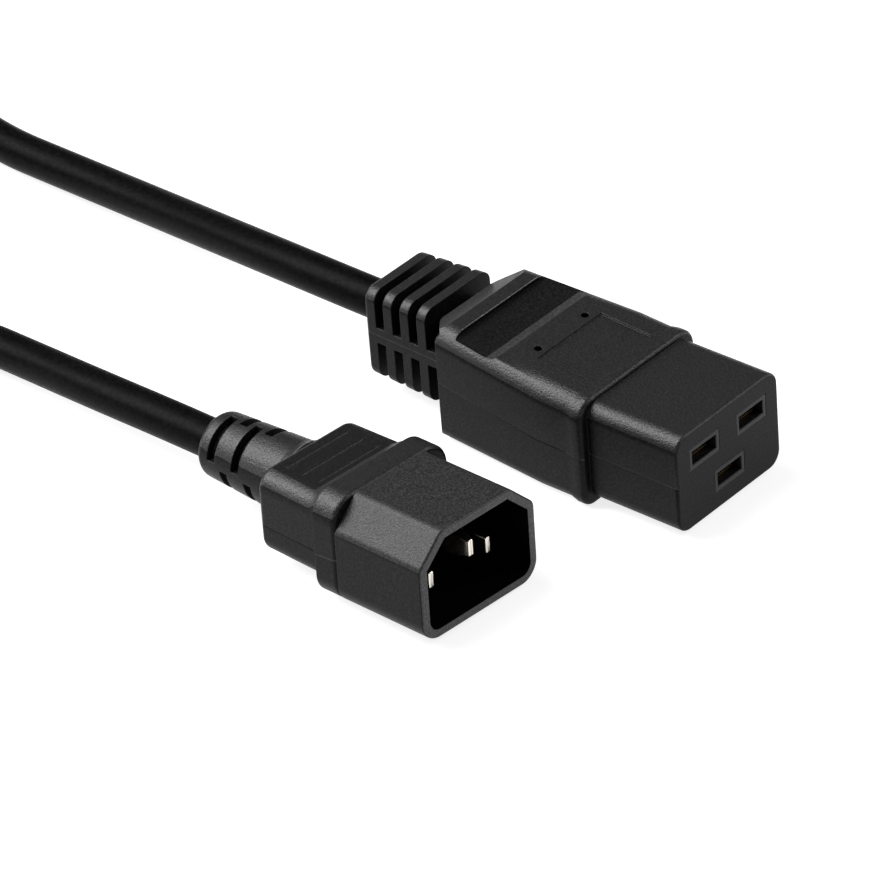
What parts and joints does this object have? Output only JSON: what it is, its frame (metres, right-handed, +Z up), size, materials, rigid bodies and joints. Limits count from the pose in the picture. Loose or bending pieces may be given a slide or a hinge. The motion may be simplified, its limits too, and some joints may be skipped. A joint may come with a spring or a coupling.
{
  "type": "power cord",
  "caption": "Moulded power cord with a flat-slot socket connector and ribbed strain relief at one end and a shrouded flat-blade plug at the other, its spare length tied in a coil.",
  "frame": {"origin": "on the floor, under the middle of the socket connector's length and width", "axes": "+X the way the socket connector faces, from its cord end to its slots; +Z up"},
  "size_m": [0.3212, 0.1035, 0.0233],
  "materials": {
    "moulded_pvc": "fine grained matte",
    "carrier_plastic": "smooth matte",
    "shroud_plastic": "fine grained matte",
    "cord_jacket": "satin",
    "tie": "matte",
    "contact_brass": "satin",
    "nickel": "bright plated",
    "copper": "satin",
    "core_brown": "smooth",
    "core_blue": "smooth",
    "core_green": "smooth, green and yellow"
  },
  "bodies": {
    "root": {"socket_overmould": "moulded_pvc", "socket_contact_carrier": "carrier_plastic", "socket_contact_line": "contact_brass", "socket_contact_neutral": "contact_brass", "socket_contact_earth": "contact_brass", "socket_strand_line": "copper", "socket_strand_neutral": "copper", "socket_strand_earth": "copper", "socket_core_line": "core_brown", "socket_core_neutral": "core_blue", "socket_core_earth": "core_green", "plug_overmould": "moulded_pvc", "plug_shroud": "shroud_plastic", "plug_blade_line": "nickel", "plug_blade_neutral": "nickel", "plug_blade_earth": "nickel", "plug_strand_line": "copper", "plug_strand_neutral": "copper", "plug_strand_earth": "copper", "plug_core_line": "core_brown", "plug_core_neutral": "core_blue", "plug_core_earth": "core_green", "cord_socket_lead": "cord_jacket", "cord_coil": "cord_jacket", "cord_plug_lead": "cord_jacket", "coil_tie_near": "tie", "coil_tie_far": "tie"}
  },
  "joints": []
}
